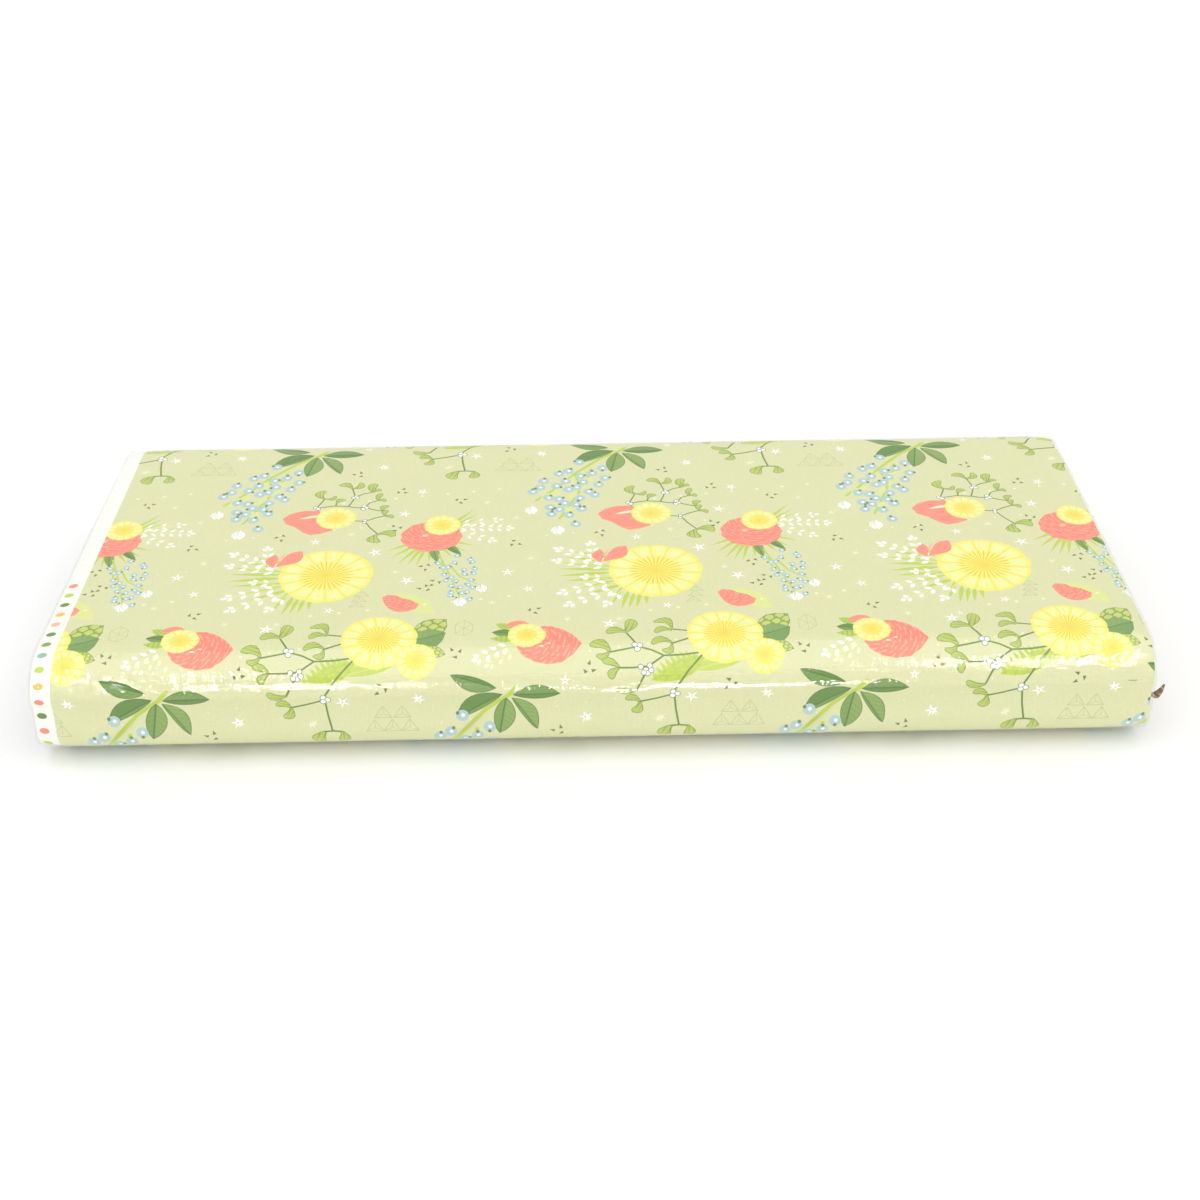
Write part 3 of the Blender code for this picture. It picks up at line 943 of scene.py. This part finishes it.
def tiled_print(low, high):
    """The print over the unrolled cloth between two corners: points, triangles and each triangle's shape."""
    cell, triangles, top, shapes = one_repeat()
    built = bmesh.new()
    number_of = built.faces.layers.int.new("shape")
    all_shapes = []

    def lay(points, faces, on_top, first, behind):
        corners = [built.verts.new((x, y, 0)) for x, y in points]
        for triangle, shape in zip(faces, on_top):
            face = built.faces.new([corners[corner] for corner in triangle])
            face[number_of] = first + shape if shape >= 0 else behind

    for row in range(-3, 4):
        for column in range(-5, 6):
            shift = column * np.array(REPEAT_ALONG) + row * np.array(REPEAT_UP)
            place = straightened(cell + shift)
            if (place.max(axis=0) < low).any() or (place.min(axis=0) > high).any():
                continue
            lay(place, triangles, top, len(all_shapes), -1)
            all_shapes += [shape.moved(shift) for shape in shapes]
    bmesh.ops.remove_doubles(built, verts=built.verts, dist=0.02)
    seam_x = low[0] + SELVAGE_WIDTH
    for point, normal in (((seam_x, 0), (-1, 0)), ((high[0], 0), (1, 0)), ((0, low[1]), (0, -1)),
                          ((0, high[1]), (0, 1))):
        cut(built, point, normal, True)
    for fold in (0, 0.5, 1):
        cut(built, (CLOTH_END - PLY / 2 * (1 - fold * math.pi), 0), (1, 0), False)
    seam = [(v.co.x, v.co.y) for v in built.verts if abs(v.co.x - low[0] - SELVAGE_WIDTH) < 0.011]

    # The selvage strip meets the print at the same points.
    corners = np.array([low, (seam_x, low[1]), (seam_x, high[1]), (low[0], high[1])])
    marks = selvage_marks(low, high)
    grid = [(low[0] + x, y) for x in (0, 2.2, 6.6) for y in np.arange(low[1] + 3, high[1], 4.5)]
    first = len(all_shapes)
    all_shapes += marks + [Shape(corners, "flat", SELVAGE, CREAM, low, (0, 1), (10, 10))]
    lay(*cut_flat(corners, marks, seam + grid), first, len(all_shapes) - 1)
    bmesh.ops.remove_doubles(built, verts=built.verts, dist=0.02)
    bmesh.ops.triangulate(built, faces=[face for face in built.faces if len(face.verts) > 3])
    loose = [vert for vert in built.verts if not vert.link_faces]
    bmesh.ops.delete(built, geom=loose, context="VERTS")
    built.verts.index_update()
    flat = np.array([(v.co.x, v.co.y) for v in built.verts])
    triangles = np.array([[v.index for v in face.verts] for face in built.faces])
    shape_of = np.array([face[number_of] for face in built.faces])
    built.free()
    a, b, c = (flat[triangles[:, corner]] for corner in range(3))
    area = (b[:, 0] - a[:, 0]) * (c[:, 1] - a[:, 1]) - (b[:, 1] - a[:, 1]) * (c[:, 0] - a[:, 0])
    triangles[area < 0] = triangles[area < 0][:, ::-1]
    return flat, triangles, shape_of, all_shapes


def printed_cloth():
    """The outer turn of cloth, cut along every printed shape so that each has its own faces."""
    start = 3.5 * ARC + 2 * FLAT_SIDE + FLAT_TOP + OUTER_END_FROM_CORNER - ROUND
    end = start + ROUND + OUTER_END_TUCK
    low, high = np.array([-CLOTH_END, start]), np.array([CLOTH_END + FOLD_UNDER, end])
    flat, triangles, shape_of, shapes = tiled_print(low, high)

    # The sheet's far end lies over its near end, which is tucked one layer further in.
    inset = CLOTH_INSET + LAYER * np.clip(1 - (flat[:, 1] - start - OUTER_END_TUCK) / 12, 0, 1)
    normals = surface_normals(cloth_surface, flat[:, 0], flat[:, 1], inset)
    made = mesh_object("printed_cloth", cloth_surface(flat[:, 0], flat[:, 1], inset), triangles.tolist(),
                       normals)
    mesh = made.data
    names = list(STYLES)
    for style in names:
        ink = Ink(style)
        mesh.materials.append(woven(ink, STYLES[style](ink)))
    index = [names.index(shapes[number].style if number >= 0 else "ground") for number in shape_of]
    mesh.polygons.foreach_set("material_index", index)

    corner_flat = flat[triangles]
    seen = flat.copy()
    seen[:, 0] += end_skew(flat[:, 0], flat[:, 1])
    corner_seen = seen[triangles]
    local = np.zeros_like(corner_flat)
    kind = np.zeros_like(corner_flat)
    colour = np.tile(GROUND, (len(triangles), 3, 1))
    mark = np.tile(GROUND_DEEP, (len(triangles), 3, 1))
    for number in np.unique(shape_of[shape_of >= 0]):
        shape = shapes[number]
        own = shape_of == number
        local[own] = shape.local(corner_seen[own].reshape(-1, 2)).reshape(-1, 3, 2)
        kind[own] = shape.kind
        colour[own] = shape.colour
        mark[own] = shape.mark
    set_uv(mesh, "OFBake", (corner_flat - low) / (high - low))
    set_uv(mesh, "Cloth", corner_flat)
    set_uv(mesh, "Local", local)
    set_uv(mesh, "Kind", kind)
    for name, values in (("Ink", colour), ("Mark", mark)):
        layer = mesh.color_attributes.new(name, "FLOAT_COLOR", "CORNER")
        layer.data.foreach_set("color", values.astype(np.float32).ravel())
    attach(made, "roll")
    return made, tuple((high - low) * MM)


def wound_material():
    """The inner turns: the ground colour with patches of the print, and the white selvages."""
    shader = Shader("wound_cotton")
    across, along = shader.uv("Cloth")
    where = shader.point(across * 0.03, along * 0.05)
    inks = shader.ramp(shader.noise(where, 0.7, 1), (0.38, LEAF_MID), (0.47, LIME), (0.53, YELLOW),
                       (0.6, CORAL))
    printed = shader.mix(shader.noise(where, 1.0, 3).band(0.56, 0.6), GROUND, inks)
    far = 4 * CLOTH_END - SELVAGE_WIDTH
    white = across.band(SELVAGE_WIDTH, SELVAGE_WIDTH - 0.6).most(across.band(far, far + 0.6))
    return woven(shader, shader.mix(white, printed, SELVAGE))


def wound_cloth():
    """The turns under the outer one: one doubled sheet wound from the board outwards."""
    marks = []
    place = 0
    for length, steps in ((ARC, 5), (FLAT_SIDE, 1), (ARC, 5), (FLAT_TOP, 4)) * 2:
        marks += [place + length * step / steps for step in range(steps)]
        place += length
    turns = TURNS - 1
    along = np.concatenate([np.array(marks) + turn * ROUND for turn in range(turns)] + [[turns * ROUND]])

    # The doubled sheet's own outline: one ply, the fold at the label's end, and the other ply below it.
    fold_radius = PLY / 2
    half = CLOTH_END - fold_radius
    bend = np.linspace(0, math.pi, 5)
    ply = [-half - 0.05, -half, -half + SELVAGE_WIDTH, 0, half - 12, half - 1]
    profile_x = np.concatenate([ply, half + fold_radius * np.sin(bend), ply[::-1]])
    profile_in = np.concatenate([[0.85 * PLY], np.zeros(5), fold_radius * (1 - np.cos(bend)), np.full(5, PLY),
                                 [1.85 * PLY]])
    across = np.concatenate([[0], np.cumsum(np.hypot(np.diff(profile_x), np.diff(profile_in)))])

    rows = []
    for a, out in zip(along, LAYER * (along / ROUND) + LAYER * 0.9):
        y, z, ny, nz = (float(value[0]) for value in
                        ring(np.array([a]), SLOT_HALF + out, SLOT_LOW.z - SLOT_CLEARANCE - out,
                             SLOT_HIGH.z + SLOT_CLEARANCE + out, SLOT_BEND + out))
        x = profile_x.copy()
        x[:3] -= 0.9 * noise.noise((a / 90, 1.5, 0)) - 0.2
        x[4:-4] += 0.7 * noise.noise((a / 120, 7.5, 0)) - 0.3
        x[-3:] -= 1.1 * noise.noise((a / 70, 4.5, 0)) - 0.3
        here = np.full(len(x), a)
        push = (a / (turns * ROUND)) ** 2 * (side_profile(here) - end_pinch(x)) - profile_in
        rows.append(np.column_stack([x + end_skew(x, here), y + push * ny, z + push * nz]))
    count = len(profile_x)
    faces = grid_faces(len(rows), count)
    made = mesh_object("wound_cloth", np.concatenate(rows), faces)
    step_length = np.linalg.norm(np.diff([row[3] for row in rows], axis=0), axis=1)
    length = np.concatenate([[0], np.cumsum(step_length)])
    corner = np.array(faces).ravel()
    flat = np.column_stack([across[corner % count], length[corner // count]])
    set_uv(made.data, "OFBake", flat / (across[-1], length[-1]))
    set_uv(made.data, "Cloth", flat)
    made.data.materials.append(wound_material())
    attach(made, "roll")
    return made, (across[-1] * MM, length[-1] * MM)


# ---------------------------------------------------------------- the film
def film_material():
    """Thin clear film: what is behind it shows, and it mirrors more towards grazing angles."""
    shader = Shader("shrink_film_clear")
    x, along = shader.uv("Film")
    where = shader.point(x, along)
    fine = shader.noise(shader.point(x * 0.09, along * 0.5), 1.0, 4)
    cross = shader.noise(shader.point(x * 0.35, along * 0.2), 1.0, 2)
    facets = shader.add("TexVoronoi", {"Vector": where, "Scale": 0.28}).outputs["Distance"]
    crinkle = shader.noise(where, 0.12, 1) * facets * x.band(-150.0, -235.0, 3.2)
    bump = shader.bump(0.4, 0.0006, fine + cross + crinkle)
    facing = Value(shader, shader.add("LayerWeight", {"Blend": 0.5, "Normal": bump}).outputs["Facing"])
    clear = shader.add("BsdfTransparent", {"Color": (0.985, 0.99, 0.985, 1)})
    gloss = shader.add("BsdfGlossy", {"Color": (1, 1, 1, 1), "Roughness": 0.05, "Normal": bump})
    return shader.finish("MixShader", {0: facing ** 5.0 * 0.95 + 0.05, 1: clear.outputs[0],
                                       2: gloss.outputs[0]})


def crease(x, along, start, end, width):
    """1 on a line between two places on the unrolled film, fading to 0 over its width and at its ends."""
    start, end = np.array(start, float), np.array(end, float)
    run = end - start
    length = np.hypot(*run)
    t = ((x - start[0]) * run[0] + (along - start[1]) * run[1]) / length ** 2
    away = ((x - start[0]) * run[1] - (along - start[1]) * run[0]) / length
    return np.exp(-(away / width) ** 2) * np.clip(np.minimum(t, 1 - t) * 6, 0, 1)


FILM_CREASES = (
    ((-281, 48.5), (281, 48.5), 1.2, 0.2),
    ((-6, 53.5), (30, 53.5), 2.6, 1.1),
    ((44, 55.5), (116, 55), 1.8, 0.25),
    ((-165, 66), (-125, 65), 1.4, 0.2),
    ((180, 60), (281, 58), 2.0, 0.35),
    ((200, 55), (281, 53), 1.2, 0.3),
    ((230, 50), (281, 47), 1.2, 0.3),
    ((120, 33), (230, 31), 1.5, 0.3),
    ((-281, 20), (-235, 52), 1.3, 0.35),
    ((-281, 30), (-245, 62), 1.2, 0.3),
    ((-281, 42), (-225, 58), 1.4, 0.35),
    ((-260, 18), (-225, 44), 1.2, 0.3),
    ((-281, 275), (-240, 240), 1.2, 0.25),
    ((-281, 255), (-215, 225), 1.4, 0.25),
    ((281, 262), (250, 235), 1.2, 0.25),
    ((272, 58), (274, 150), 0.9, 0.3),
    ((277, 66), (270, 190), 0.9, 0.25),
    ((-279, 58), (-274, 160), 0.9, 0.2),
    ((281, 240), (262, 215), 1.2, 0.3),
)


def film_height(x, along):
    """How far the film stands off its smooth section: ripples, creases and the pleats near its ends."""
    height = side_profile(along) + 0.1 * ripple(x, along, (70, 9), 11.3)
    height += 0.05 * ripple(x, along, (25, 3.5), 5.7)
    for start, end, width, size in FILM_CREASES:
        height += size * crease(x, along, start, end, width)
    shoulder = np.exp(-((along % ROUND - 57) / 7) ** 2)
    height += 0.1 * shoulder * ripple(x, along, (38, 2.6), 31.0)
    from_end = np.maximum(FILM_END - np.abs(x), 0)
    slant = along + 0.35 * from_end
    pleats = ripple(np.sign(x) * 40 + x * 0.25, slant, (30, 4.2), 21.0)
    pleats += 0.7 * ripple(x * 0.3, slant, (20, 2.0), 2.0)
    height += 0.6 * np.exp(-from_end / 20) * pleats + 0.16 * np.exp(-from_end / 60) * pleats
    on_floor = (along % ROUND > ROUND - FLAT_TOP) | (along % ROUND < 2)
    return np.where(on_floor, np.minimum(height, 0), height)


def film_sleeve():
    """The film round the roll, drawn in over both ends to the openings round the board."""
    shoulder, opening_half, opening_low, opening_high, opening_bend = 2.4, 104.2, 17.25, 42.55, 6.1
    top_from = 2 * ARC + FLAT_SIDE
    around = np.concatenate([np.arange(0, top_from, 1.9), top_from + np.arange(1, FLAT_TOP, 3.0),
                             np.arange(top_from + FLAT_TOP, ROUND - FLAT_TOP, 1.9),
                             np.arange(ROUND - FLAT_TOP + 1, ROUND, 6.0)])
    straight = FILM_END - shoulder
    half_side = np.concatenate([np.linspace(0, straight - 60, 84)[1:-1],
                                straight - 60 * np.linspace(0, 1, 26)[::-1]])
    side = np.concatenate([-half_side[::-1], [0], half_side])

    def loop(x, drawn, share):
        """One loop of the film at x, drawn in by so much, and its share of the way to the opening."""
        half = (HALF_WIDTH - drawn) * (1 - share) + opening_half * share
        low = drawn * (1 - share) + opening_low * share
        high = (THICKNESS - drawn) * (1 - share) + opening_high * share
        bend = (CORNER - drawn) * (1 - share) + opening_bend * share
        y, z, ny, nz = ring(around, half, low, high, bend)
        where = np.full(len(around), float(x))
        height = film_height(where, around) * (1 - share)
        if share > 0:
            gather = ripple(where, around, (30, 5.0), 8.8) + 0.6 * ripple(where, around, (30, 2.2), 1.8)
            where += math.copysign(1.0, x) * (0.9 * gather * share ** 0.7 - 0.5 * share)
            height += share ** 3 * 1.6 * ripple(where * 0, around, (30, 7.0), 4.4)
        return np.column_stack([where + end_skew(where, around), y + height * ny,
                                np.maximum(z + height * nz, 0)])

    # One end's loops from the sides outwards and then in to the opening, and their places on the flat film.
    turn = np.linspace(0, math.pi / 2, 6)[1:]
    shares = np.linspace(0, 1, 13)[1:]
    end = [(straight + shoulder * math.sin(a), shoulder * (1 - math.cos(a)), 0) for a in turn]
    end += [(FILM_END, shoulder, share) for share in shares]
    end_flat = [straight + shoulder * a for a in turn]
    end_flat += [straight + shoulder * math.pi / 2 + 16 * share for share in shares]
    rows = [loop(-x, drawn, share) for x, drawn, share in end[::-1]]
    rows += [loop(x, 0, 0) for x in side] + [loop(*place) for place in end]
    flat_x = np.concatenate([-np.array(end_flat[::-1]), side, end_flat])

    count = len(around)
    faces = [face[::-1] for face in grid_faces(len(rows), count, closed=True)]
    made = mesh_object("film", np.concatenate(rows), faces)
    corner = np.array(faces)
    length = around[corner % count]
    length = np.where((length < ROUND / 4) & (length.max(axis=1) > ROUND / 2)[:, None], length + ROUND,
                      length)
    flat = np.dstack([flat_x[corner // count], length]).reshape(-1, 2)
    set_uv(made.data, "OFBake", (flat - flat.min(axis=0)) / np.ptp(flat, axis=0))
    set_uv(made.data, "Film", flat)
    made.data.materials.append(film_material())
    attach(made, "roll")
    return made, (ROUND * MM, (flat_x[-1] - flat_x[0]) * MM)


# ---------------------------------------------------------------- board and label
def rough_board(name, colour, spot, roughness, grain):
    """Paper board: fibres along the board, faint mottling and a few specks."""
    shader = Shader(name)
    where = shader.place()
    stretched = shader.add("Mapping", {0: where, 3: (grain, 6 * grain, 6 * grain)}).outputs[0]
    fibres = shader.noise(stretched, 1.0, 4)
    tone = fibres * 0.6 + shader.noise(where, 35.0, 3) * 0.4
    body = shader.ramp(tone, (0.3, spot), (0.62, colour))
    body = shader.mix(shader.noise(where, 900.0, 1).band(0.68, 0.74) * 0.35, body, spot)
    return shader.finish("BsdfPrincipled", {"Base Color": body, "Roughness": roughness,
                                            "Normal": shader.bump(0.35, 0.0002, fibres)})


def label_paper():
    """Brown label paper with a plain repeat of small pale diamonds."""
    shader = Shader("label_paper")
    where = shader.place()
    x, y, z = shader.split(where)

    def fold(value):
        return abs((value * (1 / 0.0045)).fract() - 0.5)

    wear = shader.noise(where, 160.0, 4)
    diamonds = (fold(y) + fold(x + z)).band(0.34, 0.26) * wear.band(0.3, 0.5)
    ground = shader.mix(wear, rgb(104, 76, 58), rgb(140, 108, 84))
    body = shader.mix(diamonds * 0.8, ground, rgb(214, 196, 170))
    return shader.finish("BsdfPrincipled", {"Base Color": body, "Roughness": 0.45,
                                            "Normal": shader.bump(0.2, 0.0001, wear)})


def dress_board():
    """Materials for the board's own CAD pieces."""
    materials = {"board_cover": rough_board("board_white", rgb(236, 233, 222), rgb(214, 208, 192), 0.8, 60),
                 "core_liner": rough_board("liner_kraft", rgb(188, 152, 110), rgb(160, 122, 82), 0.9, 80),
                 "core_flute": rough_board("fluting_kraft", rgb(172, 134, 92), rgb(140, 104, 66), 0.95, 120),
                 "end_label": label_paper()}
    for name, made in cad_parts.items():
        for start, material in materials.items():
            if name.startswith(start):
                made.material_slots[0].material = material


def label_corner():
    """A corner of the label's paper that has come loose and stands out past the roll's end."""
    label_low, label_high = (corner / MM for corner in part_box("end_label"))
    root = np.array([label_high.x - 1.5, label_low.y + 1, label_low.z + 1])
    middle = np.array([label_high.x + 2, label_low.y - 12, label_low.z - 5])
    tip = np.array([label_high.x + 6, label_low.y - 12, label_low.z + 10])
    across = np.array([3.2, -1.0, -1.6])
    rows, columns, paper = 10, 6, 0.3
    points = []
    for side in (0, 1):
        for row in range(rows + 1):
            t = row / rows
            for column in range(columns + 1):
                v = column / columns - 0.5
                centre = (1 - t) ** 2 * root + 2 * t * (1 - t) * middle + t ** 2 * tip
                curl = 0.9 * (2 * v) ** 2 * t
                place = centre + v * across * 2.0 * (1 - 0.92 * t ** 2) + np.array([curl, 0.4 * curl, 0])
                points.append(place + side * np.array([-paper, -paper * 0.3, 0]))
    step = columns + 1
    layer = (rows + 1) * step
    faces = []
    for a, b, c, d in grid_faces(rows + 1, step):
        faces += [(a, b, c, d), (layer + a, layer + d, layer + c, layer + b)]
    rim = list(range(step)) + [row * step + columns for row in range(1, rows + 1)]
    rim += [rows * step + column for column in range(columns - 1, -1,
                                                     -1)] + [row * step for row in range(rows - 1, 0, -1)]
    faces += [(b, a, layer + a, layer + b) for a, b in zip(rim, rim[1:] + rim[:1])]
    made = mesh_object("label_corner", points, faces)
    made.data.materials.append(label_paper())
    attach(made, "board")


# ---------------------------------------------------------------- the set
def floor():
    """A plain pale floor."""
    shader = Shader("floor_white")
    tone = shader.mix(shader.noise(shader.place(), 6.0, 3), (0.93, 0.93, 0.93, 1), (0.95, 0.95, 0.95, 1))
    made = mesh_object("floor", [(-4000, -4000, 0), (4000, -4000, 0), (4000, 6000, 0), (-4000, 6000, 0)],
                       [(0, 1, 2, 3)])
    surface = {"Base Color": tone, "Roughness": 0.9, "Specular IOR Level": 0.1}
    made.data.materials.append(shader.finish("BsdfPrincipled", surface))


def placed(name, data, matrix):
    """A light or a camera in the scene, at its place and turn."""
    made = bpy.data.objects.new(name, data)
    made.matrix_world = matrix
    bpy.context.collection.objects.link(made)
    return made


def softbox(name, azimuth, elevation, distance, width, height, power):
    """A soft light aimed at the bolt. Azimuth 0 is in front, 90 at the label's end."""
    light = bpy.data.lights.new(name, "AREA")
    light.shape = "RECTANGLE"
    light.size, light.size_y = width, height
    light.energy = power
    a, e = math.radians(azimuth), math.radians(elevation)
    way = Vector((math.sin(a) * math.cos(e), -math.cos(a) * math.cos(e), math.sin(e)))
    place = Matrix.Translation(way * distance + Vector((0, 0, THICKNESS / 2 * MM)))
    return placed(name, light, place @ way.to_track_quat("Z", "Y").to_matrix().to_4x4())


def lights():
    """A high-key studio: white surroundings, a soft sun, a low soft box and small strips for the film."""
    world = bpy.data.worlds.new("white_studio")
    world.use_nodes = True
    world.node_tree.nodes["Background"].inputs[0].default_value = (1, 1, 1, 1)
    world.node_tree.nodes["Background"].inputs[1].default_value = 0.8
    bpy.context.scene.world = world
    above = bpy.data.lights.new("above", "SUN")
    above.energy = 1.05
    above.angle = math.radians(70)
    lean = Matrix.Rotation(math.radians(6), 4, "Y") @ Matrix.Rotation(math.radians(12), 4, "X")
    placed("above", above, lean)
    softbox("front_light", 4, 15, 2.3, 1.3, 0.3, 4).visible_glossy = False
    for name, azimuth, elevation, width, height, power in (
            ("left_strip", -13, 22, 0.27, 0.1, 8), ("middle_strip", 5, 5, 0.28, 0.2, 20),
            ("right_strip", 29, 48, 0.2, 0.14, 7), ("left_end_strip", -27, 46, 0.14, 0.14, 5)):
        softbox(name, azimuth, elevation, 2.4, width, height, power).visible_diffuse = False


def camera():
    """The camera at the photograph's viewing angle."""
    data = bpy.data.cameras.new("camera")
    data.sensor_width = 36
    data.lens = CAMERA_LENS
    data.clip_end = 50
    yaw, pitch, roll = (math.radians(angle) for angle in CAMERA_TURN)
    turn = Matrix.Rotation(yaw, 4, "Z") @ Matrix.Rotation(math.pi / 2 + pitch, 4, "X")
    turn = turn @ Matrix.Rotation(roll, 4, "Z")
    bpy.context.scene.camera = placed("camera", data, Matrix.Translation(CAMERA_PLACE) @ turn)
    bpy.context.scene.view_settings.view_transform = "Standard"


camera()
lights()
floor()
dress_board()
wound, wound_flat = wound_cloth()
printed, printed_flat = printed_cloth()
film, film_flat = film_sleeve()
label_corner()
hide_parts("cloth_roll")
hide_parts("cloth_roll")
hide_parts("film_sleeve")
